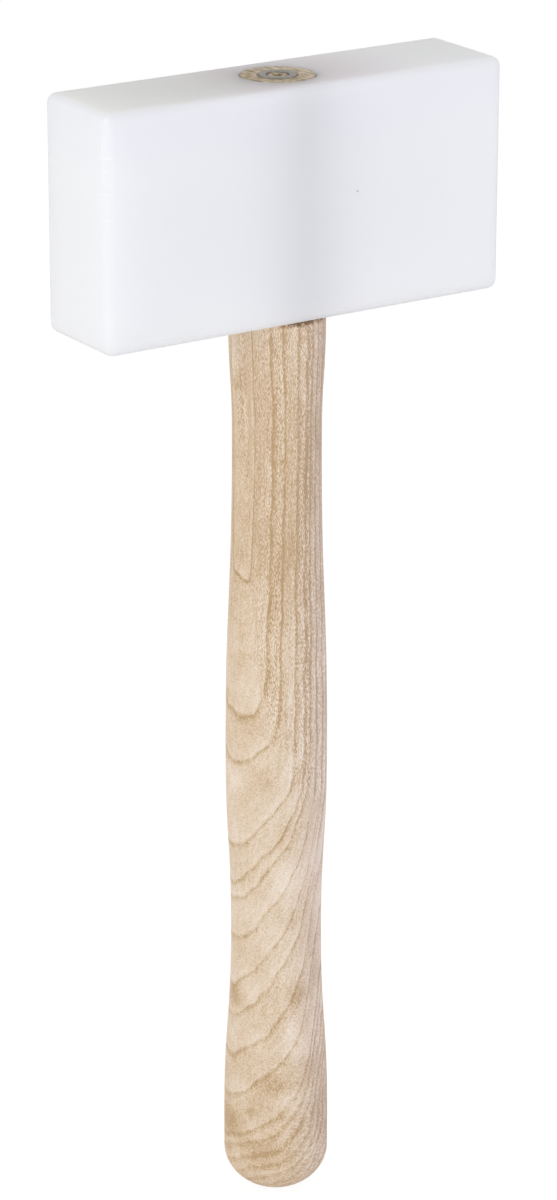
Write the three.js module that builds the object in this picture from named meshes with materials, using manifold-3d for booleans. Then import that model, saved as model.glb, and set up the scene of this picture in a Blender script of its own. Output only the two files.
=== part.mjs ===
// Tinsmith's mallet: a block head of milky white polyethylene on a turned ash handle.
// The handle's round tenon runs right through the head, and a steel ring wedge driven into
// the end of the tenon spreads it in the bore, so the head can't fly off.
//
// Millimetres, +Z up. The origin is the lowest point of the handle's butt, on the handle's axis.
// X runs along the head from one striking face to the other, and Y through its two cheeks.

import * as THREE from "three";
import { RoundedBoxGeometry } from "three/addons/geometries/RoundedBoxGeometry.js";
import { mergeVertices } from "three/addons/utils/BufferGeometryUtils.js";
import Module from "manifold-3d";

// Head: the block and the edges of its faces
const HEAD_LENGTH = 135;
const HEAD_WIDTH = 34;
const HEAD_HEIGHT = 70;
const HEAD_EDGE_RADIUS = 3;
const BORE_MOUTH_CHAMFER = 0.4;

// Handle: how far it reaches below the head, then its diameters from the butt upwards and the
// lengths between them. The stretch from the swell to the neck takes up what is left of the reach.
const HANDLE_REACH = 283.5;
const BUTT_DOME_HEIGHT = 13.4;
const BUTT_DIAMETER = 32.1;
const BUTT_RUN = 9.6;
const BUTT_TO_WAIST = 65.8;
const WAIST_DIAMETER = 27.6;
const WAIST_TO_SWELL = 55.8;
const SWELL_DIAMETER = 30.7;
const NECK_DIAMETER = 26.5;
const NECK_TO_SHOULDER = 37.4;
const SHOULDER_LEDGE = 3.2;
const SHOULDER_ROUNDING = 1.2;

// Tenon: the round end that fills the head's bore
const TENON_DIAMETER = 22.2;
const TENON_RECESS = 0.3;
const TENON_END_CHAMFER = 0.3;
const CENTRE_MARK_DIAMETER = 3.4;
const CENTRE_MARK_DEPTH = 2.4;

// Ring wedge: a hollow steel cone with barbs, thin at its lower cutting edge
const WEDGE_DIAMETER = 11.4;
const WEDGE_BORE = 6.6;
const WEDGE_HEIGHT = 14;
const WEDGE_EDGE_WALL = 0.7;
const WEDGE_TOP_BAND = 3;
const WEDGE_BARBS = 4;
const WEDGE_BARB_DEPTH = 0.3;
const WEDGE_RIM_CHAMFER = 0.25;

// Clearances between the pieces, each per side
const BORE_CLEARANCE = 0.15;
const SHOULDER_CLEARANCE = 0.3;
const WEDGE_CLEARANCE = 0.1;

// Facets of the round forms
const ROUND_SEGMENTS = 48;
const EDGE_SEGMENTS = 4;
const SWEEP_STEPS = 9;
const DOME_STEPS = 5;
const ROUNDING_STEPS = 2;

// Heights along the handle's axis
const BUTT_TOP_Z = BUTT_DOME_HEIGHT + BUTT_RUN;
const WAIST_Z = BUTT_TOP_Z + BUTT_TO_WAIST;
const SWELL_Z = WAIST_Z + WAIST_TO_SWELL;
const SHOULDER_Z = HANDLE_REACH;
const NECK_Z = SHOULDER_Z - NECK_TO_SHOULDER;
const HEAD_BOTTOM_Z = SHOULDER_Z + SHOULDER_CLEARANCE;
const HEAD_TOP_Z = HEAD_BOTTOM_Z + HEAD_HEIGHT;
const TENON_END_Z = HEAD_TOP_Z - TENON_RECESS;
const WEDGE_EDGE_Z = TENON_END_Z - WEDGE_HEIGHT;

// Radii that two pieces share
const TENON_RADIUS = TENON_DIAMETER / 2;
const SHOULDER_RADIUS = TENON_RADIUS + SHOULDER_LEDGE;
const BORE_RADIUS = TENON_RADIUS + BORE_CLEARANCE;
const WEDGE_RADIUS = WEDGE_DIAMETER / 2;
const WEDGE_BORE_RADIUS = WEDGE_BORE / 2;
const WEDGE_EDGE_RADIUS = WEDGE_BORE_RADIUS + WEDGE_EDGE_WALL;

const wasm = await Module();
wasm.setup();

/** A closed geometry as a solid that can be cut. */
function solidOf(geometry) {
  const bare = geometry.clone();
  bare.deleteAttribute("normal");
  bare.deleteAttribute("uv");
  const merged = mergeVertices(bare);
  return new wasm.Manifold(
    new wasm.Mesh({
      numProp: 3,
      vertProperties: merged.attributes.position.array,
      triVerts: new Uint32Array(merged.index.array),
    }),
  );
}

/** A cut solid as a geometry again. */
function geometryOf(solid) {
  const mesh = solid.getMesh();
  const geometry = new THREE.BufferGeometry();
  geometry.setAttribute("position", new THREE.BufferAttribute(mesh.vertProperties, 3));
  geometry.setIndex(new THREE.BufferAttribute(mesh.triVerts, 1));
  geometry.computeVertexNormals();
  return geometry;
}

/** A profile of [radius, height] points turned about the Z axis. */
function turned(points) {
  const profile = points.map(([radius, height]) => new THREE.Vector2(radius, height));
  return new THREE.LatheGeometry(profile, ROUND_SEGMENTS).rotateX(Math.PI / 2);
}

/** Points of a curve as [radius, height], without its first point. */
function along(curve, steps) {
  return curve
    .getPoints(steps)
    .slice(1)
    .map((point) => [point.x, point.y]);
}

/** An easy S-shaped sweep between two diameters, upright at both ends. */
function sweep(lowRadius, lowZ, highRadius, highZ) {
  const middleZ = (lowZ + highZ) / 2;
  const curve = new THREE.CubicBezierCurve(
    new THREE.Vector2(lowRadius, lowZ),
    new THREE.Vector2(lowRadius, middleZ),
    new THREE.Vector2(highRadius, middleZ),
    new THREE.Vector2(highRadius, highZ),
  );
  return along(curve, SWEEP_STEPS);
}

/** A quarter of an ellipse, from startAngle to endAngle in quarter turns. */
function quarter(centreRadius, centreZ, radiusAcross, radiusUp, startAngle, endAngle, steps) {
  const curve = new THREE.EllipseCurve(
    centreRadius,
    centreZ,
    radiusAcross,
    radiusUp,
    (startAngle * Math.PI) / 2,
    (endAngle * Math.PI) / 2,
    endAngle < startAngle,
  );
  return along(curve, steps);
}

/** The block with rounded edges and a straight bore, its two mouths chamfered. */
function headGeometry() {
  const block = new RoundedBoxGeometry(
    HEAD_LENGTH,
    HEAD_WIDTH,
    HEAD_HEIGHT,
    EDGE_SEGMENTS,
    HEAD_EDGE_RADIUS,
  );
  const half = HEAD_HEIGHT / 2;
  const past = BORE_MOUTH_CHAMFER;
  const mouthRadius = BORE_RADIUS + BORE_MOUTH_CHAMFER;
  const bore = turned([
    [0, -half - past],
    [mouthRadius + past, -half - past],
    [BORE_RADIUS, -half + BORE_MOUTH_CHAMFER],
    [BORE_RADIUS, half - BORE_MOUTH_CHAMFER],
    [mouthRadius + past, half + past],
    [0, half + past],
  ]);
  return geometryOf(solidOf(block).subtract(solidOf(bore)));
}

/** The turned grip, from the butt's pole up to the ledge that meets the head. */
function gripProfile() {
  const butt = BUTT_DIAMETER / 2;
  const waist = WAIST_DIAMETER / 2;
  const swell = SWELL_DIAMETER / 2;
  const neck = NECK_DIAMETER / 2;
  const roundingZ = SHOULDER_Z - SHOULDER_ROUNDING;
  const roundingRadius = SHOULDER_RADIUS - SHOULDER_ROUNDING;
  return [
    [0, 0],
    ...quarter(0, BUTT_DOME_HEIGHT, butt, BUTT_DOME_HEIGHT, -1, 0, DOME_STEPS * 2),
    [butt, BUTT_TOP_Z],
    ...sweep(butt, BUTT_TOP_Z, waist, WAIST_Z),
    ...sweep(waist, WAIST_Z, swell, SWELL_Z),
    ...sweep(swell, SWELL_Z, neck, NECK_Z),
    ...sweep(neck, NECK_Z, SHOULDER_RADIUS, roundingZ),
    ...quarter(
      roundingRadius,
      roundingZ,
      SHOULDER_ROUNDING,
      SHOULDER_ROUNDING,
      0,
      1,
      ROUNDING_STEPS * 2,
    ),
  ];
}

/** The tenon, from the ledge to the mark that the lathe's centre left in its end. */
function tenonProfile() {
  const grooveOuter = WEDGE_RADIUS + WEDGE_CLEARANCE;
  const grooveInner = WEDGE_BORE_RADIUS - WEDGE_CLEARANCE;
  const grooveFloorZ = WEDGE_EDGE_Z - WEDGE_CLEARANCE;
  const plugZ = TENON_END_Z + TENON_RECESS;
  return [
    [TENON_RADIUS, SHOULDER_Z],
    [TENON_RADIUS, TENON_END_Z - TENON_END_CHAMFER],
    [TENON_RADIUS - TENON_END_CHAMFER, TENON_END_Z],
    [grooveOuter, TENON_END_Z],
    [WEDGE_EDGE_RADIUS + WEDGE_CLEARANCE, WEDGE_EDGE_Z],
    [WEDGE_EDGE_RADIUS + WEDGE_CLEARANCE, grooveFloorZ],
    [grooveInner, grooveFloorZ],
    [grooveInner, TENON_END_Z],
    [grooveInner - TENON_RECESS, plugZ],
    [CENTRE_MARK_DIAMETER / 2, plugZ],
    [0, plugZ - CENTRE_MARK_DEPTH],
  ];
}

/** The ring wedge: a straight bore inside, and outside a cone with saw-tooth barbs. */
function wedgeGeometry() {
  const barbsTopZ = TENON_END_Z - WEDGE_TOP_BAND;
  const pitch = (barbsTopZ - WEDGE_EDGE_Z) / WEDGE_BARBS;
  const slope = (WEDGE_RADIUS - WEDGE_EDGE_RADIUS) / WEDGE_HEIGHT;
  const coneRadius = (z) => WEDGE_EDGE_RADIUS + slope * (z - WEDGE_EDGE_Z);
  const barbs = [];
  for (let barb = 1; barb <= WEDGE_BARBS; barb++) {
    const z = WEDGE_EDGE_Z + barb * pitch;
    barbs.push([coneRadius(z), z]);
    barbs.push([coneRadius(z) - WEDGE_BARB_DEPTH, z + WEDGE_BARB_DEPTH]);
  }
  const outside = [
    [WEDGE_EDGE_RADIUS, WEDGE_EDGE_Z],
    ...barbs,
    [coneRadius(barbsTopZ + 2 * WEDGE_BARB_DEPTH), barbsTopZ + 2 * WEDGE_BARB_DEPTH],
    [WEDGE_RADIUS - WEDGE_RIM_CHAMFER, TENON_END_Z],
  ];
  const inside = [
    [WEDGE_BORE_RADIUS + WEDGE_RIM_CHAMFER, TENON_END_Z],
    [WEDGE_BORE_RADIUS, TENON_END_Z - WEDGE_RIM_CHAMFER],
    [WEDGE_BORE_RADIUS, WEDGE_EDGE_Z],
  ];
  return turned([...outside, ...inside, outside[0]]);
}

const polyethylene = new THREE.MeshStandardMaterial({
  color: "#eceef3",
  roughness: 0.42,
  metalness: 0,
});
const ash = new THREE.MeshStandardMaterial({ color: "#d5c0a9", roughness: 0.62, metalness: 0 });
const steel = new THREE.MeshStandardMaterial({ color: "#8b867d", roughness: 0.5, metalness: 1 });

const head = new THREE.Mesh(headGeometry(), polyethylene);
head.name = "head";
head.position.z = HEAD_BOTTOM_Z + HEAD_HEIGHT / 2;

const handle = new THREE.Mesh(turned([...gripProfile(), ...tenonProfile()]), ash);
handle.name = "handle";

const ringWedge = new THREE.Mesh(wedgeGeometry(), steel);
ringWedge.name = "ring_wedge";

const mallet = new THREE.Group();
mallet.name = "tinsmith_mallet";
mallet.add(head, handle, ringWedge);

export default mallet;
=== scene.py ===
import math
import random

import bmesh
import bpy
from mathutils import Matrix, Vector


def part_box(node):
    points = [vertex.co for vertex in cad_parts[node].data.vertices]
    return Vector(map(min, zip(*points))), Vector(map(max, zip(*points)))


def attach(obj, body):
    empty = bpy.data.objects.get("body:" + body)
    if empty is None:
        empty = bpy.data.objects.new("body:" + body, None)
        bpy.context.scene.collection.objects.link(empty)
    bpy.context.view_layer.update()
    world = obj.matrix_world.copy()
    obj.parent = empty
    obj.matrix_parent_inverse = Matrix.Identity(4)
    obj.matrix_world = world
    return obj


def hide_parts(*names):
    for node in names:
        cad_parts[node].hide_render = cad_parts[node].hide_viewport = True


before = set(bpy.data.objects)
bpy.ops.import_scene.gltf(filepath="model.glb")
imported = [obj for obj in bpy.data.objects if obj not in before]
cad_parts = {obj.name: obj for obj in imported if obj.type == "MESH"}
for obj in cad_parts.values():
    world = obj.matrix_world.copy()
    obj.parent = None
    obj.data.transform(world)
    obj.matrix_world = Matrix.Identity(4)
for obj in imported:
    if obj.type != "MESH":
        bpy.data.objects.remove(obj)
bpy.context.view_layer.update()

MM = 0.001
TO_MM = 1000.0
QUARTER = math.pi / 2
# Points this near to each other, in metres, count as one.
TOUCH = 1e-6
WHITE = (1.0, 1.0, 1.0, 1.0)
# Sockets of a Mix node that mixes colours: the two colours that go in and the one that comes out.
COLOUR_A, COLOUR_B, MIXED = 6, 7, 2

# The photograph's camera, found from the straight edges of the head: turns in degrees, place in millimetres.
CAMERA_YAW, CAMERA_PITCH, CAMERA_ROLL = -33.1861, 19.9893, -0.1088
CAMERA_PLACE = (-654.0043, -1000.9917, 628.8035)
CAMERA_LENS, CAMERA_FILM = 127.9296, 36.0

# Soft walls of light: where each stands from the middle of the mallet in metres, its tint and its watts.
LIGHT_WALLS = (
    ("left_wall", (-1.5, -0.1, 0.1), "#f9faff", 14.0),
    ("right_wall", (0.58, -1.38, 0.1), "#eef1ff", 12.15),
    ("ceiling", (0.0, 0.0, 1.5), "#ffffff", 3.0),
)
WALL_WIDTH, WALL_HEIGHT = 2.0, 1.4
LIGHT_TARGET = Vector((0, 0, 0.2))
TENT_LEVEL = 0.50
# Floor: its size in metres, its paint and glow as they light the mallet, and as they show.
FLOOR_SIZE = 8.0
FLOOR_PAINT, FLOOR_GLOW = "#e6e6e6", 0.11
FLOOR_PAINT_SHOWN, FLOOR_GLOW_SHOWN = "#7c7c7c", 0.9

# Head block, as packed: its edges are rounded over and the bore's mouths are broken. Its upright edges are
# known by their length, and its flat top and bottom by how level they are and their area in square metres.
EDGE_RADIUS = 3.0 * MM
EDGE_STEPS = 8
BORE_RADIUS = 11.25 * MM
BORE_CHAMFER = 0.4 * MM
BORE_STEPS = 96
UPRIGHT_EDGE = 30.0 * MM
FLAT_FACE, FLAT_FACE_AREA = 0.999, 1e-4

# Nicks that the cutter left round the head's front-left edge, partly painted highlights on that rounding:
# height above the butt, angle round the rounding from the front, width round it and height of the nick, in
# millimetres and degrees.
NICKS_AND_HIGHLIGHTS = (
    (352.2, -47, 1.6, 1.4), (341.3, -52, 4.2, 0.9), (337.5, -65, 2.6, 0.8), (331.0, -52, 4.2, 1.0),
    (323.6, -50, 3.4, 0.9), (319.5, -68, 1.2, 2.8), (341.0, -74, 1.0, 13.0),
)
NICK_DEPTH = 0.15
NICK_CUTS = 150
# The nicks' paler tint is partly the cut plastic and partly painted highlight where the rounding catches the
# light.
NICK_AND_HIGHLIGHT_TINT = "#fbfcff"
# A speck of dirt on the head's front face, at its place in the frame.
SPECK, SPECK_SIZE, SPECK_TINT = (16.4, -17.0, 320.7), 0.6, "#b0b1bd"
# A mark's tint starts and is full at these shares of half its size.
MARK_START, MARK_FULL = 1.3, 0.4

# Tints of the plastic: plain; painted shade of the tenon inside the block, within a reach of its axis given
# below;
# and painted shade below the top edge, where it dims between two depths. The roof's tints, painted shade
# round the tenon's mouth and painted light at its right end, run from its left end to its right, and start
# and are full at two depths of their own. Light goes PLASTIC_DEPTH into the block.
PLAIN_TINT, TENON_SHADE_TINT, BROW_SHADE_TINT = "#f7f7fd", "#f4f4ff", "#f0f0f5"
TENON_SHADE_REACH = 42.0
BROW_START, BROW_FULL, BROW_SHARE = 28.0, 3.0, 0.7
ROOF_SHADE_AND_LIGHT = ((0.0, "#f6f6f2"), (0.3, "#e6e5e3"), (0.41, "#dcd4d4"), (0.63, "#e8e2e4"), (0.9, "#feffff"))
ROOF_START, ROOF_FULL = 1.0, 0.05
PLASTIC_DEPTH = 14.0

# Turned handle: heights of the stations above the butt's lowest point, and half their thickness.
BUTT_DOME_TOP, BUTT_RUN_TOP, BUTT_RADIUS = 13.4, 23.0, 16.05
WAIST_HEIGHT, WAIST_RADIUS = 88.8, 13.8
SWELL_HEIGHT, SWELL_RADIUS = 144.6, 15.35
NECK_HEIGHT, NECK_RADIUS = 246.1, 13.25
SHOULDER_HEIGHT, SHOULDER_RADIUS, SHOULDER_ROUND = 283.5, 14.3, 1.2
TENON_RADIUS, TENON_END, TENON_CHAMFER = 11.1, 353.5, 0.3
TURNED_STEPS, DOME_STEPS, SWEEP_STEPS, SHOULDER_STEPS = 128, 16, 24, 6

# Ring wedge in the tenon's end: a band on top, and below it a cone with barbs down to a thin edge.
RING_OUTER, RING_INNER, RING_TOP, RING_DEPTH = 5.7, 3.3, 353.8, 14.0
RING_EDGE, RING_BAND, RING_BARBS, BARB_DEPTH = 4.2, 3.0, 4, 0.3
RING_RIM, RING_GAP, RING_STEPS = 0.25, 0.1, 96
PLUG_TOP = 353.5
CENTRE_MARK_RADIUS, CENTRE_MARK_DEPTH = 1.7, 2.4
# Patches of the film on the steel.
FILM_SIZE, FILM_TINTS = 1.2, ((0.3, "#726e67"), (0.7, "#948f85"))

# Year lines of the handle's ash. Each stands upright at an angle, in degrees from the side that faced
# the heart, and lower down turns under that side, at a height in millimetres above the butt.
HEART_TURN = math.radians(173.2)
YEAR_LINES = (
    (0, 245), (6, 238), (17, 204), (40.5, 161), (56, 147), (73.5, 119), (86, 106.8), (94, 101), (104.5, 87.5),
    (117.5, 73.5), (129, 63), (140, 49.5), (150, 36), (160, 21), (166, 17), (172, 12.5), (176, 8.5), (180, 5),
)
# The two oldest years turn under higher up than the handle shows; below the last line more follow evenly.
OLDEST_YEARS, BUTT_YEAR, LOWEST_YEAR = [300, 250], 2.4, -70
# How far a line has risen at each angle and what share of that is left at each height, how steeply it tilts
# across the handle, and how far the upright lines stray in degrees, each by height.
TOP = 354
YEAR_RISE = (
    (0, 0), (18, 0.4), (33, 1.8), (48, 3.5), (58, 5.5), (66, 7.5), (74, 9.5), (84, 13), (91, 16.5),
    (97, 20), (104, 25), (115, 31), (140, 38), (180, 41),
)
YEAR_EASE = ((0, 0.36), (17, 0.4), (46, 1), (TOP, 1))
YEAR_TILT = ((0, 0.25), (40, 0.5), (130, 0.5), (158, 0), (TOP, 0))
YEAR_STRAY = ((0, -3.5), (140, -3.5), (180, -2), (200, 0), (250, 3.5), (285, 1.5), (TOP, 0))
# Over what height a line turns under, between which leans it comes to stand, over what length and how far it
# wanders, and the radius inside which the angle no longer sharpens.
YEAR_TURN_UNDER = 26.0
STAND_FROM, STAND_TO = -14.0, 8.0
YEAR_WANDER = ((12.0, 2.4), (4.0, 0.9))
GRAIN_CORE = 13.0

# Tone of the wood, from 0 for brown to 1 for cream: through a year, and what each height adds: darker towards
# the butt, and darker up under the head, which is painted shade of the head. A line fades outwards over one
# width and has an edge of another inwards, each given turned under and upright. How dark it is depends on how
# it is broken up, across, round and along the grain, and on the height.
YEAR_TONES = ((0.0, 0.53), (0.2, 0.54), (0.5, 0.57), (0.8, 0.62), (1.0, 0.66))
HEIGHT_TONES_AND_HEAD_SHADE = (
    (0, -0.15), (18, -0.185), (38, -0.09), (90, -0.01), (115, 0.0), (140, -0.03), (165, -0.07), (190, -0.1),
    (220, -0.21), (250, -0.22), (284, -0.16), (TOP, -0.16),
)
LINE_FADE, LINE_EDGE = (2.2, 5.0), (1.0, 1.6)
LINE_BREAKS, LINE_DEPTHS = (2.0, 2.0, 7.0), (-0.19, -0.48)
LINE_STRENGTHS = ((0, 0.5), (30, 0.55), (65, 0.72), (115, 0.74), (165, 1.0), (TOP, 1.0))
# The bark side, which begins between two angles, is pinker, and each height adds to its tone once more:
# painted shade down that side of the handle, darkest near the butt.
BARK_SHADE_FROM, BARK_SHADE_TO = math.radians(60), math.radians(115)
BARK_SIDE_SHADE = (
    (0, -0.12), (40, -0.1), (90, -0.07), (120, -0.04), (145, 0.0), (185, -0.055), (215, -0.07), (TOP, -0.08),
)
HEARTWOOD = ((0.0, "#bd9b70"), (0.25, "#d5b994"), (0.5, "#e6cfb3"), (0.75, "#f1dfc9"), (1.0, "#fbefdf"))
SAPWOOD = ((0.0, "#b4997f"), (0.25, "#ceb59e"), (0.5, "#e3cdba"), (0.75, "#f2e1d4"), (1.0, "#fff4ec"))

# Streaks, upright fibres, cut fibres, ripples beside the rings and broad patches: size across, round and
# along the grain, and strength where the lines turn under and where they stand upright. Across the grain the
# sizes are measured in heights of the years' feet, times RING_CROWDING. Fibres are hundredths of a millimetre
# thick in the wood and are drawn at 0.2 to 0.3 mm, so that they still show.
FIBRES = (
    ((1.3, 1.3, 10.0), 0.05, 0.07), ((0.22, 0.22, 0.9), 0.07, 0.32), ((0.3, 0.3, 0.5), 0.14, 0.0),
    ((0.32, 9.0, 25.0), 0.03, 0.02), ((9.0, 9.0, 14.0), 0.07, 0.06),
)
RING_CROWDING = 0.35
FIBRE_LOW, FIBRE_HIGH = 0.32, 0.68
# Open pores: spacing across, round and along the grain, the share of that at which a pore starts and is full,
# how strongly they show through a year, how dark they are turned under and upright, and how deep they are.
# They are a quarter of a millimetre wide in the wood and are drawn up to twice that, so that they still show.
PORE_SPACING, PORE_START, PORE_FULL = (0.62, 0.62, 1.8), 0.4, 0.2
YEAR_PORES = ((0.0, 1.0), (0.15, 0.9), (0.35, 0.45), (0.65, 0.3), (0.9, 0.3), (1.0, 1.0))
PORE_TONES, PORE_DEPTH, PORE_RELIEF = (-0.22, -0.36), 0.12, 0.4
NOISE_LOW, NOISE_HIGH = 0.3, 0.7

# Brown stains and, with strengths below nought, pale patches on the handle: angle from the heart side in
# degrees, height, width, length and strength. They start and are full at shares of half their size.
STAINS = (
    (-10, 67, 12, 8, 0.28), (78, 70, 8, 7, 0.24), (46, 41, 9, 7, 0.18), (-13, 25, 13, 9, 0.28),
    (-12, 263, 4, 5, 0.35), (42, 278, 2.5, 3.5, 0.2), (49, 241, 6, 3, 0.2), (103, 82, 4, 3, 0.2),
    (-22, 166, 3, 5, 0.25), (20, 31, 5, 3, 0.2), (60, 208, 16, 38, 0.18), (43, 249, 9, 14, 0.18),
    (14, 160, 10, 14, 0.14), (42, 142, 8, 11, 0.13), (0, 218, 12, 24, 0.1), (40, 18, 15, 10, 0.2),
    (100, 88, 10, 20, 0.16), (-8, 274, 8, 16, -0.22), (-6, 141, 9, 10, -0.2), (62, 108, 9, 18, -0.24),
    (68, 56, 8, 14, -0.24), (64, 35, 10, 8, -0.22), (98, 15, 14, 14, -0.14),
)
STAIN_RADIUS, STAIN_START, STAIN_FULL = 15, 1.5, 0.2

# End grain of the tenon: the heights where it starts and is full, its mottling, what each millimetre towards
# the heart adds to its tone, its tints, and how dark it is by its distance from the axis: in the centre mark,
# along the ring and at the rim. That darkness is painted shade in the centre mark's hole, in the gaps round
# the ring and in the gap at the rim.
END_START, END_FULL = TENON_END - 2.6, TENON_END - 2.5
MOTTLE_SIZE, MOTTLE_TONE, HEARTWARD_TONE = 1.8, 0.3, -0.014
END_TINTS = ((0.0, "#8f7a5c"), (0.3, "#ad997b"), (0.6, "#c8b79c"), (1.0, "#e6d8c2"))
END_SHADE_TINT = "#5e4a2e"
END_SHADE = (
    (0.0, 1.0), (1.0, 1.0), (1.9, 0.0), (2.7, 0.0), (3.2, 0.5), (5.8, 0.7), (6.3, 0.0), (10.4, 0.0),
    (11.1, 0.75),
)

# Chips in the rim of the handle's shoulder: between two angles from +X in degrees, how deep the bites are,
# how far below the shoulder they reach and how far from the tenon they stay. A painted shade of the head
# darkens
# the gap over the chips: its tint starts and is full at two heights, and at two distances towards CHIP_SIDE,
# the chips' side in the wood's own turn.
CHIP_FROM, CHIP_TO = -108.0, -40.0
CHIP_DEPTHS, CHIP_REACH, CHIP_CLEARANCE = (0.1, 0.7), 2.4, 0.1
CHIP_SEED = 5
CHIP_TURN = HEART_TURN + math.radians(-78.0)
CHIP_SIDE = (math.cos(CHIP_TURN), math.sin(CHIP_TURN), 0.0)
GAP_SHADE_TINT, GAP_SHADE_SIZE, GAP_SHADE_LOW, GAP_SHADE_HIGH = "#94734c", 0.8, 0.35, 0.6
GAP_SHADE_START, GAP_SHADE_FULL = SHOULDER_HEIGHT - 1.7, SHOULDER_HEIGHT - 0.9
GAP_SHADE_SIDE_START, GAP_SHADE_SIDE_FULL = 9.0, 12.0


def linear(code):
    """Turns an sRGB hex colour into the linear colour that shaders read."""
    channels = [int(code[i:i + 2], 16) / 255 for i in (1, 3, 5)]
    return (*[c / 12.92 if c <= 0.04045 else ((c + 0.055) / 1.055) ** 2.4 for c in channels], 1.0)


def add(tree, kind, inputs=(), stops=(), points=(), **settings):
    """Adds a node. Inputs by socket are values, sockets to link, or nodes whose first output is linked.
    Stops fill a colour ramp, and points fill a curve."""
    node = tree.nodes.new(kind)
    for name, value in settings.items():
        setattr(node, name, value)
    for socket, value in dict(inputs).items():
        if isinstance(value, bpy.types.Node):
            value = value.outputs[0]
        if isinstance(value, bpy.types.NodeSocket):
            tree.links.new(value, node.inputs[socket])
        else:
            node.inputs[socket].default_value = value
    for i, (place, colour) in enumerate(stops):
        stop = node.color_ramp.elements[i] if i < 2 else node.color_ramp.elements.new(place)
        stop.position, stop.color = place, linear(colour)
    if points:
        node.mapping.use_clip = False
        curve = node.mapping.curves[0]
        for i, place in enumerate(points):
            if i < 2:
                curve.points[i].location = place
            else:
                curve.points.new(*place)
        node.mapping.update()
    return node


def material(name):
    """Makes a material with an empty node tree."""
    made = bpy.data.materials.new(name)
    made.use_nodes = True
    made.node_tree.nodes.clear()
    return made, made.node_tree


def piece(name, bm, node, finish):
    """Closes a mesh, links it as a piece of the mallet and lets it stand for its CAD node."""
    bmesh.ops.remove_doubles(bm, verts=bm.verts[:], dist=TOUCH)
    bmesh.ops.recalc_face_normals(bm, faces=bm.faces[:])
    mesh = bpy.data.meshes.new(name)
    bm.to_mesh(mesh)
    bm.free()
    mesh.materials.append(finish)
    for face in mesh.polygons:
        face.use_smooth = True
    obj = bpy.data.objects.new(name, mesh)
    bpy.context.scene.collection.objects.link(obj)
    obj.modifiers.new("Even shading", "WEIGHTED_NORMAL").keep_sharp = True
    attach(obj, "root")
    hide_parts(node)


def make_camera():
    """Stands the camera where the photograph's camera stood."""
    yaw, pitch, roll = (math.radians(a) for a in (CAMERA_YAW, CAMERA_PITCH, CAMERA_ROLL))
    back = Vector((math.sin(yaw) * math.cos(pitch), -math.cos(yaw) * math.cos(pitch), math.sin(pitch)))
    right = (-back).cross(Vector((0, 0, 1))).normalized()
    down = (-back).cross(right)
    across = right * math.cos(roll) + down * math.sin(roll)
    up = right * math.sin(roll) - down * math.cos(roll)
    lens = bpy.data.cameras.new("camera")
    lens.sensor_fit = "VERTICAL"
    lens.sensor_height = CAMERA_FILM
    lens.lens = CAMERA_LENS
    camera = bpy.data.objects.new("camera", lens)
    turn = Matrix((across, up, back)).transposed().to_4x4()
    camera.matrix_world = Matrix.Translation(Vector(CAMERA_PLACE) * MM) @ turn
    bpy.context.scene.collection.objects.link(camera)
    bpy.context.scene.camera = camera


def seen_directly(tree):
    """1 for rays that end in the eye, straight, mirrored or let through, and 0 for rays that only light."""
    path = add(tree, "ShaderNodeLightPath").outputs
    seen = path["Is Camera Ray"]
    for ray in ("Is Glossy Ray", "Is Transmission Ray"):
        seen = add(tree, "ShaderNodeMath", {0: seen, 1: path[ray]}, operation="MAXIMUM")
    return seen


def make_light():
    """A pale tent all round, with wide soft walls of light on the left, right of the camera and above."""
    world = bpy.data.worlds.new("tent")
    bpy.context.scene.world = world
    world.use_nodes = True
    tree = world.node_tree
    tree.nodes.clear()
    level = add(tree, "ShaderNodeMapRange", {
        "Value": seen_directly(tree), "To Min": TENT_LEVEL, "To Max": 1.0})
    sky = add(tree, "ShaderNodeBackground", {"Color": WHITE, "Strength": level})
    add(tree, "ShaderNodeOutputWorld", {"Surface": sky})
    for name, place, tint, power in LIGHT_WALLS:
        lamp = bpy.data.lights.new(name, "AREA")
        lamp.shape = "RECTANGLE"
        lamp.size, lamp.size_y = WALL_WIDTH, WALL_HEIGHT
        lamp.energy = power
        lamp.color = linear(tint)[:3]
        wall = bpy.data.objects.new(name, lamp)
        facing = Vector(place).to_track_quat("Z", "Y").to_matrix().to_4x4()
        wall.matrix_world = Matrix.Translation(LIGHT_TARGET + Vector(place)) @ facing
        bpy.context.scene.collection.objects.link(wall)


def make_floor():
    """Pale floor that reads as white to the eye but still takes the mallet's shadow."""
    paint, tree = material("pale_floor")
    matt = add(tree, "ShaderNodeBsdfDiffuse", {"Color": linear(FLOOR_PAINT)})
    fill = add(tree, "ShaderNodeEmission", {"Color": WHITE, "Strength": FLOOR_GLOW})
    bounce = add(tree, "ShaderNodeAddShader", {0: matt, 1: fill})
    shade = add(tree, "ShaderNodeBsdfDiffuse", {"Color": linear(FLOOR_PAINT_SHOWN)})
    glow = add(tree, "ShaderNodeEmission", {"Color": WHITE, "Strength": FLOOR_GLOW_SHOWN})
    shown = add(tree, "ShaderNodeAddShader", {0: shade, 1: glow})
    both = add(tree, "ShaderNodeMixShader", {0: seen_directly(tree), 1: bounce, 2: shown})
    add(tree, "ShaderNodeOutputMaterial", {"Surface": both})
    bm = bmesh.new()
    bmesh.ops.create_grid(bm, x_segments=1, y_segments=1, size=FLOOR_SIZE)
    mesh = bpy.data.meshes.new("floor")
    bm.to_mesh(mesh)
    bm.free()
    mesh.materials.append(paint)
    floor = bpy.data.objects.new("floor", mesh)
    bpy.context.scene.collection.objects.link(floor)


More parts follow.
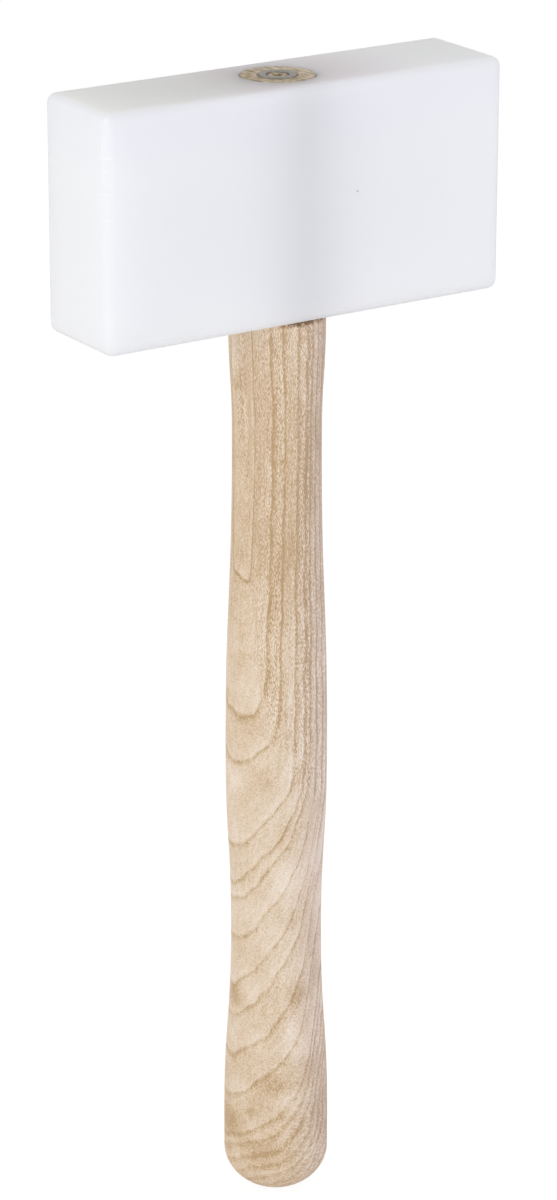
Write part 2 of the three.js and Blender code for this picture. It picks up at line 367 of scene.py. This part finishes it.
def nick_and_highlight_shapes(low):
    """Middle of each nick, partly a painted highlight, on the front-left rounding and half its width and
    height, in millimetres.
    """
    for height, angle, wide, tall in NICKS_AND_HIGHLIGHTS:
        turn, round_off = math.radians(angle), EDGE_RADIUS * TO_MM
        centre = Vector((low.x * TO_MM + round_off * (1 + math.sin(turn)),
                         low.y * TO_MM + round_off * (1 - math.cos(turn)), height))
        yield centre, Vector((wide / 2, wide / 2, tall / 2))


def polyethylene():
    """Milled high-density polyethylene: milky white, satin. Light goes more than a centimetre into it, so the
    tenon shows through as a darker band, most of all round its mouth on top. The band and the darker top are
    also painted into the colour as shade, with a dimmer strip below the top edge and light at the top's right
    end."""
    made, tree = material("milled_polyethylene")
    low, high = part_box("head")
    head_top = high.z * TO_MM
    place = add(tree, "ShaderNodeTexCoord").outputs["Object"]
    spot = add(tree, "ShaderNodeVectorMath", {0: place, "Scale": TO_MM}, operation="SCALE")
    along, _, height = add(tree, "ShaderNodeSeparateXYZ", {0: spot}).outputs
    away = add(tree, "ShaderNodeMath", {0: along}, operation="ABSOLUTE")
    # Painted shade of the tenon inside the block: a darker, bluer band on the sides round its axis.
    tenon_shade = add(tree, "ShaderNodeMapRange", {"Value": away, "From Min": TENON_SHADE_REACH, "From Max": 0.0},
               interpolation_type="SMOOTHERSTEP")
    sides = add(tree, "ShaderNodeMix", {
        0: tenon_shade, COLOUR_A: linear(PLAIN_TINT), COLOUR_B: linear(TENON_SHADE_TINT)}, data_type="RGBA").outputs[MIXED]
    # Painted shade: the sides dim below the top edge.
    brow_shade = add(tree, "ShaderNodeMapRange", {
        "Value": height, "From Min": head_top - BROW_START, "From Max": head_top - BROW_FULL,
        "To Max": BROW_SHARE}, interpolation_type="SMOOTHSTEP")
    sides = add(tree, "ShaderNodeMix", {
        0: brow_shade, COLOUR_A: sides, COLOUR_B: linear(BROW_SHADE_TINT)}, data_type="RGBA").outputs[MIXED]
    # The top's tints: painted shade round the tenon's mouth, and painted light at the right end.
    share = add(tree, "ShaderNodeMapRange", {
        "Value": along, "From Min": low.x * TO_MM, "From Max": high.x * TO_MM})
    roof_shade_and_light = add(tree, "ShaderNodeValToRGB", {0: share}, stops=ROOF_SHADE_AND_LIGHT)
    up = add(tree, "ShaderNodeMapRange", {
        "Value": height, "From Min": head_top - ROOF_START, "From Max": head_top - ROOF_FULL})
    colour = add(tree, "ShaderNodeMix", {
        0: up, COLOUR_A: sides, COLOUR_B: roof_shade_and_light}, data_type="RGBA").outputs[MIXED]
    # The nicks' paler tint is partly painted highlight on the rounding.
    marks = [(centre, half, NICK_AND_HIGHLIGHT_TINT) for centre, half in nick_and_highlight_shapes(low)]
    marks.append((Vector(SPECK), Vector((1, 1, 1)) * SPECK_SIZE / 2, SPECK_TINT))
    for centre, half, tint in marks:
        reach = add(tree, "ShaderNodeVectorMath", {0: spot, 1: centre}, operation="SUBTRACT")
        reach = add(tree, "ShaderNodeVectorMath", {0: reach, 1: half}, operation="DIVIDE")
        reach = add(tree, "ShaderNodeVectorMath", {0: reach}, operation="LENGTH").outputs["Value"]
        mark = add(tree, "ShaderNodeMapRange", {
            "Value": reach, "From Min": MARK_START, "From Max": MARK_FULL})
        colour = add(tree, "ShaderNodeMix", {
            0: mark, COLOUR_A: colour, COLOUR_B: linear(tint)}, data_type="RGBA").outputs[MIXED]
    shader = add(tree, "ShaderNodeBsdfPrincipled", {
        "Base Color": colour, "Roughness": 0.65, "IOR": 1.54, "Specular IOR Level": 0.3,
        "Subsurface Weight": 1.0, "Subsurface Radius": (1.0, 1.0, 1.0),
        "Subsurface Scale": PLASTIC_DEPTH * MM})
    add(tree, "ShaderNodeOutputMaterial", {"Surface": shader})
    return made


def off_axis(tree, spot):
    """Distance of a spot from the handle's axis."""
    level = add(tree, "ShaderNodeVectorMath", {0: spot, 1: (1, 1, 0)}, operation="MULTIPLY")
    return add(tree, "ShaderNodeVectorMath", {0: level}, operation="LENGTH").outputs["Value"]


def year_lines(tree, spot, depth, across, height):
    """Finds the season in which the wood at a spot grew, the width and foot of its year, how far its line
    stands upright there, and the spot's angle from the heart side."""
    radius = add(tree, "ShaderNodeMath", {0: off_axis(tree, spot), 1: GRAIN_CORE}, operation="MAXIMUM")
    facing = add(tree, "ShaderNodeMath", {0: depth, 1: radius}, operation="DIVIDE")
    turn = add(tree, "ShaderNodeMath", {0: facing}, operation="ARCCOSINE")
    stray = add(tree, "ShaderNodeFloatCurve", {"Value": height},
                points=[(z, math.radians(a)) for z, a in YEAR_STRAY])
    turn = add(tree, "ShaderNodeMath", {0: turn, 1: stray}, operation="SUBTRACT")
    rise = add(tree, "ShaderNodeFloatCurve", {"Value": turn},
               points=[(math.radians(a), z) for a, z in YEAR_RISE])
    ease = add(tree, "ShaderNodeFloatCurve", {"Value": height}, points=YEAR_EASE)
    tilt = add(tree, "ShaderNodeFloatCurve", {"Value": height}, points=YEAR_TILT)
    rise = add(tree, "ShaderNodeMath", {0: rise, 1: ease}, operation="MULTIPLY")
    rise = add(tree, "ShaderNodeMath", {0: tilt, 1: across, 2: rise}, operation="MULTIPLY_ADD")
    upright = add(tree, "ShaderNodeFloatCurve", {"Value": turn},
                  points=[(math.radians(a), z) for a, z in YEAR_LINES])
    low = add(tree, "ShaderNodeMath", {0: height, 1: rise}, operation="SUBTRACT")
    foot = add(tree, "ShaderNodeMath", {0: low, 1: upright, 2: YEAR_TURN_UNDER}, operation="SMOOTH_MIN")
    lean = add(tree, "ShaderNodeMath", {0: low, 1: upright}, operation="SUBTRACT")
    stand = add(tree, "ShaderNodeMapRange", {"Value": lean, "From Min": STAND_FROM, "From Max": STAND_TO},
                interpolation_type="SMOOTHSTEP")
    for span, reach in YEAR_WANDER:
        wander = add(tree, "ShaderNodeTexNoise", {"Vector": spot, "Scale": 1 / span, "Detail": 0.0})
        wander = add(tree, "ShaderNodeMath", {0: wander, 1: 0.5}, operation="SUBTRACT")
        foot = add(tree, "ShaderNodeMath", {0: wander, 1: 2 * reach, 2: foot}, operation="MULTIPLY_ADD")
    feet = OLDEST_YEARS + [z for _, z in YEAR_LINES[len(OLDEST_YEARS):]]
    while feet[-1] > LOWEST_YEAR:
        feet.append(feet[-1] - BUTT_YEAR)
    feet.reverse()
    year = add(tree, "ShaderNodeFloatCurve", {"Value": foot},
               points=[(z, float(len(feet) - i)) for i, z in enumerate(feet)])
    season = add(tree, "ShaderNodeMath", {0: year}, operation="FRACT")
    width = add(tree, "ShaderNodeFloatCurve", {"Value": foot},
                points=[((a + b) / 2, b - a) for a, b in zip(feet, feet[1:])])
    return season, width, foot, stand, turn


def year_tone(tree, spot, height, season, width, stand):
    """Tone of the years, which pale outwards, and of their broken brown lines, crisp on the heart side."""
    inner = add(tree, "ShaderNodeMath", {0: season, 1: width}, operation="MULTIPLY")
    outer = add(tree, "ShaderNodeMath", {0: width, 1: inner}, operation="SUBTRACT")
    sides = []
    for away, (turned_under, standing) in ((inner, LINE_FADE), (outer, LINE_EDGE)):
        reach = add(tree, "ShaderNodeMapRange", {"Value": stand, "To Min": turned_under, "To Max": standing})
        sides.append(add(tree, "ShaderNodeMapRange", {
            "Value": away, "From Max": reach, "To Min": 1.0, "To Max": 0.0}, interpolation_type="SMOOTHSTEP"))
    line = add(tree, "ShaderNodeMath", {0: sides[0], 1: sides[1]}, operation="MAXIMUM")
    strength = add(tree, "ShaderNodeFloatCurve", {"Value": height}, points=LINE_STRENGTHS)
    line = add(tree, "ShaderNodeMath", {0: line, 1: strength}, operation="MULTIPLY")
    broken = add(tree, "ShaderNodeVectorMath", {0: spot, 1: LINE_BREAKS}, operation="DIVIDE")
    broken = add(tree, "ShaderNodeTexNoise", {"Vector": broken, "Scale": 1.0, "Detail": 1.0})
    broken = add(tree, "ShaderNodeMapRange", {
        "Value": broken, "From Min": NOISE_LOW, "From Max": NOISE_HIGH,
        "To Min": LINE_DEPTHS[0], "To Max": LINE_DEPTHS[1]})
    tone = add(tree, "ShaderNodeFloatCurve", {"Value": season}, points=YEAR_TONES)
    return add(tree, "ShaderNodeMath", {0: line, 1: broken, 2: tone}, operation="MULTIPLY_ADD")


def fibre_tone(tree, along, stand, tone):
    """Adds the wood's streaks and fibres to its tone."""
    for sizes, turned_under, standing in FIBRES:
        grid = add(tree, "ShaderNodeVectorMath", {0: along, 1: sizes}, operation="DIVIDE")
        streaks = add(tree, "ShaderNodeTexNoise", {"Vector": grid, "Scale": 1.0, "Detail": 0.0})
        streaks = add(tree, "ShaderNodeMapRange", {
            "Value": streaks, "From Min": FIBRE_LOW, "From Max": FIBRE_HIGH, "To Min": -1.0, "To Max": 1.0},
            interpolation_type="SMOOTHSTEP")
        reach = add(tree, "ShaderNodeMapRange", {"Value": stand, "To Min": turned_under, "To Max": standing})
        tone = add(tree, "ShaderNodeMath", {0: streaks, 1: reach, 2: tone}, operation="MULTIPLY_ADD")
    return tone


def stain_tone(tree, spot, tone):
    """Takes the stains from the wood's tone, and adds the pale patches to it."""
    for angle, height, width, length, strength in STAINS:
        turn = math.radians(angle)
        centre = (STAIN_RADIUS * math.cos(turn), STAIN_RADIUS * math.sin(turn), height)
        half = (width / 2, width / 2, length / 2)
        away = add(tree, "ShaderNodeVectorMath", {0: spot, 1: centre}, operation="SUBTRACT")
        away = add(tree, "ShaderNodeVectorMath", {0: away, 1: half}, operation="DIVIDE")
        away = add(tree, "ShaderNodeVectorMath", {0: away}, operation="LENGTH").outputs["Value"]
        stain = add(tree, "ShaderNodeMapRange", {
            "Value": away, "From Min": STAIN_START, "From Max": STAIN_FULL, "To Max": strength},
            interpolation_type="SMOOTHSTEP")
        tone = add(tree, "ShaderNodeMath", {0: tone, 1: stain}, operation="SUBTRACT")
    return tone


def open_pores(tree, along, season):
    """Short dashes along the grain, strongest in the early wood."""
    cells = add(tree, "ShaderNodeVectorMath", {0: along, 1: PORE_SPACING}, operation="DIVIDE")
    pores = add(tree, "ShaderNodeTexVoronoi", {"Vector": cells, "Scale": 1.0}).outputs["Distance"]
    pores = add(tree, "ShaderNodeMapRange", {"Value": pores, "From Min": PORE_START, "From Max": PORE_FULL})
    early = add(tree, "ShaderNodeFloatCurve", {"Value": season}, points=YEAR_PORES)
    return add(tree, "ShaderNodeMath", {0: pores, 1: early}, operation="MULTIPLY")


def end_grain(tree, spot, depth, height, tone, colour):
    """Lays the greyer, mottled end grain over the tenon's end, with painted shade in the centre mark, round
    the ring and at the rim.
    """
    mottle = add(tree, "ShaderNodeTexNoise", {"Vector": spot, "Scale": 1 / MOTTLE_SIZE, "Detail": 1.0})
    mottle = add(tree, "ShaderNodeMapRange", {
        "Value": mottle, "From Min": NOISE_LOW, "From Max": NOISE_HIGH,
        "To Min": -MOTTLE_TONE, "To Max": MOTTLE_TONE})
    tone = add(tree, "ShaderNodeMath", {0: tone, 1: mottle}, operation="ADD")
    tone = add(tree, "ShaderNodeMath", {0: depth, 1: HEARTWARD_TONE, 2: tone}, operation="MULTIPLY_ADD")
    wood = add(tree, "ShaderNodeValToRGB", {0: tone}, stops=END_TINTS)
    # Painted shade in the centre mark, round the ring and at the rim.
    end_shade = add(tree, "ShaderNodeFloatCurve", {"Value": off_axis(tree, spot)}, points=END_SHADE)
    wood = add(tree, "ShaderNodeMix", {
        0: end_shade, COLOUR_A: wood, COLOUR_B: linear(END_SHADE_TINT)}, data_type="RGBA").outputs[MIXED]
    up = add(tree, "ShaderNodeMapRange", {"Value": height, "From Min": END_START, "From Max": END_FULL})
    return add(tree, "ShaderNodeMix", {
        0: up, COLOUR_A: colour, COLOUR_B: wood}, data_type="RGBA").outputs[MIXED]


def shade_chipped_gap(tree, spot, height, colour):
    """Paints shade of the head into the gap over the shoulder's rim where it is chipped."""
    # Painted shade of the head in the gap over the chipped rim, mottled.
    up = add(tree, "ShaderNodeMapRange", {"Value": height, "From Min": GAP_SHADE_START, "From Max": GAP_SHADE_FULL})
    side = add(tree, "ShaderNodeVectorMath", {0: spot, 1: CHIP_SIDE}, operation="DOT_PRODUCT")
    near = add(tree, "ShaderNodeMapRange", {
        "Value": side.outputs["Value"], "From Min": GAP_SHADE_SIDE_START, "From Max": GAP_SHADE_SIDE_FULL})
    gap_shade = add(tree, "ShaderNodeTexNoise", {"Vector": spot, "Scale": 1 / GAP_SHADE_SIZE, "Detail": 1.0})
    gap_shade = add(tree, "ShaderNodeMapRange", {"Value": gap_shade, "From Min": GAP_SHADE_LOW, "From Max": GAP_SHADE_HIGH})
    gap_shade = add(tree, "ShaderNodeMath", {0: gap_shade, 1: near}, operation="MULTIPLY")
    gap_shade = add(tree, "ShaderNodeMath", {0: gap_shade, 1: up}, operation="MULTIPLY")
    return add(tree, "ShaderNodeMix", {
        0: gap_shade, COLOUR_A: colour, COLOUR_B: linear(GAP_SHADE_TINT)}, data_type="RGBA").outputs[MIXED]


def ash():
    """Turned, sanded ash: pale, with brown lines at each year's start and short dashes of pores between."""
    made, tree = material("turned_ash")
    place = add(tree, "ShaderNodeTexCoord").outputs["Object"]
    spot = add(tree, "ShaderNodeMapping", {
        "Vector": place, "Rotation": (0, 0, HEART_TURN), "Scale": (TO_MM, TO_MM, TO_MM)})
    depth, across, height = add(tree, "ShaderNodeSeparateXYZ", {0: spot}).outputs
    season, width, foot, stand, turn = year_lines(tree, spot, depth, across, height)

    bare_tone = year_tone(tree, spot, height, season, width, stand)
    # Darker towards the butt and up under the head; under the head it is painted shade of the head.
    height_tone_and_head_shade = add(tree, "ShaderNodeFloatCurve", {"Value": height}, points=HEIGHT_TONES_AND_HEAD_SHADE)
    tone = add(tree, "ShaderNodeMath", {0: bare_tone, 1: height_tone_and_head_shade}, operation="ADD")
    # The bark side has pinker wood, and is darkened by height: painted shade down that side of the handle.
    bark_side_and_shade = add(tree, "ShaderNodeMapRange", {"Value": turn, "From Min": BARK_SHADE_FROM, "From Max": BARK_SHADE_TO},
               interpolation_type="SMOOTHSTEP")
    shade = add(tree, "ShaderNodeFloatCurve", {"Value": height}, points=BARK_SIDE_SHADE)
    tone = add(tree, "ShaderNodeMath", {0: bark_side_and_shade, 1: shade, 2: tone}, operation="MULTIPLY_ADD")

    ring = add(tree, "ShaderNodeMath", {0: foot, 1: RING_CROWDING}, operation="MULTIPLY")
    along = add(tree, "ShaderNodeCombineXYZ", {0: ring, 1: across, 2: height})
    tone = fibre_tone(tree, along, stand, tone)
    tone = stain_tone(tree, spot, tone)
    pores = open_pores(tree, along, season)
    drop = add(tree, "ShaderNodeMapRange", {"Value": stand, "To Min": PORE_TONES[0], "To Max": PORE_TONES[1]})
    tone = add(tree, "ShaderNodeMath", {0: pores, 1: drop, 2: tone}, operation="MULTIPLY_ADD")

    heartwood = add(tree, "ShaderNodeValToRGB", {0: tone}, stops=HEARTWOOD)
    sapwood = add(tree, "ShaderNodeValToRGB", {0: tone}, stops=SAPWOOD)
    colour = add(tree, "ShaderNodeMix", {
        0: bark_side_and_shade, COLOUR_A: heartwood, COLOUR_B: sapwood}, data_type="RGBA").outputs[MIXED]
    colour = end_grain(tree, spot, depth, height, bare_tone, colour)
    colour = shade_chipped_gap(tree, spot, height, colour)
    dents = add(tree, "ShaderNodeMath", {0: pores, 1: -1.0}, operation="MULTIPLY")
    bump = add(tree, "ShaderNodeBump", {
        "Height": dents, "Strength": PORE_RELIEF, "Distance": PORE_DEPTH * MM})
    shader = add(tree, "ShaderNodeBsdfPrincipled", {
        "Base Color": colour, "Roughness": 0.62, "IOR": 1.5, "Normal": bump})
    add(tree, "ShaderNodeOutputMaterial", {"Surface": shader})
    return made


def steel():
    """Rolled steel ring, dull from a thin film of oxide."""
    made, tree = material("dull_steel")
    place = add(tree, "ShaderNodeTexCoord").outputs["Object"]
    film = add(tree, "ShaderNodeTexNoise", {"Vector": place, "Scale": TO_MM / FILM_SIZE, "Detail": 3.0})
    tone = add(tree, "ShaderNodeValToRGB", {0: film}, stops=FILM_TINTS)
    shader = add(tree, "ShaderNodeBsdfPrincipled", {"Base Color": tone, "Metallic": 1.0, "Roughness": 0.45})
    add(tree, "ShaderNodeOutputMaterial", {"Surface": shader})
    return made


def nick_edge(bm, low):
    """Presses the nicks into the rounding of the front-left edge."""
    axis = low + Vector((EDGE_RADIUS, EDGE_RADIUS, 0))
    rounding = {v for v in bm.verts if v.co.x < axis.x + TOUCH and v.co.y < axis.y + TOUCH}
    uprights = [e for e in bm.edges if rounding.issuperset(e.verts) and e.calc_length() > UPRIGHT_EDGE]
    cut = bmesh.ops.subdivide_edges(bm, edges=uprights, cuts=NICK_CUTS, use_grid_fill=True)["geom_inner"]
    nicks = list(nick_and_highlight_shapes(low))
    for vert in [g for g in cut if isinstance(g, bmesh.types.BMVert)]:
        inward = Vector((axis.x - vert.co.x, axis.y - vert.co.y, 0)).normalized()
        for centre, half in nicks:
            away = vert.co * TO_MM - centre
            share = Vector((away.x / half.x, away.y / half.y, away.z / half.z)).length
            vert.co += inward * NICK_DEPTH * MM * max(0.0, 1 - share)


def make_head(finish):
    """Block with rounded edges, whose top and bottom are filled round the mouths of the bore."""
    low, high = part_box("head")
    middle = (low + high) / 2
    bm = bmesh.new()
    bmesh.ops.create_cube(bm, size=1.0)
    bmesh.ops.scale(bm, vec=high - low, verts=bm.verts[:])
    bmesh.ops.translate(bm, vec=middle, verts=bm.verts[:])
    bmesh.ops.bevel(bm, geom=bm.edges[:], offset=EDGE_RADIUS, offset_type="OFFSET", segments=EDGE_STEPS,
                    profile=0.5, affect="EDGES", material=-1)
    nick_edge(bm, low)
    flats = [f for f in bm.faces if abs(f.normal.z) > FLAT_FACE and f.calc_area() > FLAT_FACE_AREA]
    rims = {f.calc_center_median().z > middle.z: f.edges[:] for f in flats}
    bmesh.ops.delete(bm, geom=flats, context="FACES_ONLY")
    mouth_radius = BORE_RADIUS + BORE_CHAMFER
    shrink = BORE_RADIUS / mouth_radius
    walls = []
    for top, level, inward in ((True, high.z, -BORE_CHAMFER), (False, low.z, BORE_CHAMFER)):
        mouth = bmesh.ops.create_circle(bm, segments=BORE_STEPS, radius=mouth_radius,
                                        matrix=Matrix.Translation((0, 0, level)))["verts"]
        mouth_edges = list(dict.fromkeys(e for v in mouth for e in v.link_edges))
        bmesh.ops.triangle_fill(bm, use_beauty=True, use_dissolve=False, edges=rims[top] + mouth_edges)
        grown = bmesh.ops.extrude_edge_only(bm, edges=mouth_edges)["geom"]
        ring = [g for g in grown if isinstance(g, bmesh.types.BMVert)]
        bmesh.ops.scale(bm, vec=(shrink, shrink, 1), verts=ring)
        bmesh.ops.translate(bm, vec=(0, 0, inward), verts=ring)
        walls += [g for g in grown if isinstance(g, bmesh.types.BMEdge)]
    bmesh.ops.bridge_loops(bm, edges=walls)
    piece("head_block", bm, "head", finish)


def sweep(start, end):
    """Radii and heights along a sweep that stands upright at both its stations."""
    (z0, r0), (z1, r1) = start, end
    middle = (z0 + z1) / 2
    for i in range(1, SWEEP_STEPS + 1):
        t = i / SWEEP_STEPS
        a, b, c, d = (1 - t) ** 3, 3 * (1 - t) ** 2 * t, 3 * (1 - t) * t ** 2, t ** 3
        yield (a + b) * r0 + (c + d) * r1, a * z0 + (b + c) * middle + d * z1


def spin_profile(profile, steps):
    """Turns a profile of (radius, height) in millimetres about the handle's axis."""
    bm = bmesh.new()
    verts = [bm.verts.new((r * MM, 0, z * MM)) for r, z in profile]
    edges = [bm.edges.new(pair) for pair in zip(verts, verts[1:])]
    bmesh.ops.spin(bm, geom=verts + edges, cent=(0, 0, 0), axis=(0, 0, 1), angle=4 * QUARTER, steps=steps,
                   use_merge=True)
    return bm


def chip_shoulder(bm):
    """Breaks the shoulder's rim away in small bites between two angles, on the side that the camera sees."""
    bites = random.Random(CHIP_SEED)
    depths = {}
    for vert in bm.verts:
        below = SHOULDER_HEIGHT - vert.co.z * TO_MM
        clear = vert.co.xy.length * TO_MM - TENON_RADIUS
        if -TOUCH * TO_MM < below < CHIP_REACH and clear > CHIP_CLEARANCE:
            step = round(math.degrees(math.atan2(vert.co.y, vert.co.x)) * TURNED_STEPS / 360)
            if CHIP_FROM < step * 360 / TURNED_STEPS < CHIP_TO:
                if step not in depths:
                    depths[step] = bites.uniform(*CHIP_DEPTHS)
                vert.co.z -= depths[step] * MM * (1 - below / CHIP_REACH)


def make_handle(finish):
    """Turned from the butt's dome by way of the grip and the shoulder to the tenon's end and its groove."""
    profile = []
    for i in range(DOME_STEPS + 1):
        t = QUARTER * i / DOME_STEPS
        profile.append((BUTT_RADIUS * math.sin(t), BUTT_DOME_TOP * (1 - math.cos(t))))
    profile.append((BUTT_RADIUS, BUTT_RUN_TOP))
    stations = ((BUTT_RUN_TOP, BUTT_RADIUS), (WAIST_HEIGHT, WAIST_RADIUS), (SWELL_HEIGHT, SWELL_RADIUS),
                (NECK_HEIGHT, NECK_RADIUS), (SHOULDER_HEIGHT - SHOULDER_ROUND, SHOULDER_RADIUS))
    for start, end in zip(stations, stations[1:]):
        profile += sweep(start, end)
    for i in range(1, SHOULDER_STEPS + 1):
        t = QUARTER * i / SHOULDER_STEPS
        profile.append((SHOULDER_RADIUS - SHOULDER_ROUND * (1 - math.cos(t)),
                        SHOULDER_HEIGHT - SHOULDER_ROUND * (1 - math.sin(t))))
    groove_out, groove_in, groove_foot = RING_OUTER + RING_GAP, RING_INNER - RING_GAP, RING_EDGE + RING_GAP
    groove_floor = RING_TOP - RING_DEPTH - RING_GAP
    profile += [
        (TENON_RADIUS, SHOULDER_HEIGHT), (TENON_RADIUS, TENON_END - TENON_CHAMFER),
        (TENON_RADIUS - TENON_CHAMFER, TENON_END), (groove_out, TENON_END),
        (groove_out, RING_TOP - RING_BAND), (groove_foot, RING_TOP - RING_DEPTH),
        (groove_foot, groove_floor), (groove_in, groove_floor), (groove_in, PLUG_TOP),
        (CENTRE_MARK_RADIUS, PLUG_TOP), (0.0, PLUG_TOP - CENTRE_MARK_DEPTH)]
    bm = spin_profile(profile, TURNED_STEPS)
    chip_shoulder(bm)
    piece("turned_handle", bm, "handle", finish)


def make_ring(finish):
    """Ring wedge with saw-tooth barbs on its cone and softened rims."""
    edge, band = RING_TOP - RING_DEPTH, RING_TOP - RING_BAND
    profile = [(RING_INNER, edge), (RING_EDGE, edge)]
    for barb in range(1, RING_BARBS + 1):
        share = barb / RING_BARBS
        radius, height = RING_EDGE + share * (RING_OUTER - RING_EDGE), edge + share * (band - edge)
        profile += [(radius, height), (radius - BARB_DEPTH, height + BARB_DEPTH)]
    profile += [
        (RING_OUTER, band + 2 * BARB_DEPTH), (RING_OUTER, RING_TOP - RING_RIM),
        (RING_OUTER - RING_RIM, RING_TOP), (RING_INNER + RING_RIM, RING_TOP),
        (RING_INNER, RING_TOP - RING_RIM), (RING_INNER, edge)]
    piece("ring_wedge_steel", spin_profile(profile, RING_STEPS), "ring_wedge", finish)


bpy.context.scene.view_settings.view_transform = "Standard"
make_camera()
make_light()
make_floor()
make_head(polyethylene())
make_handle(ash())
make_ring(steel())
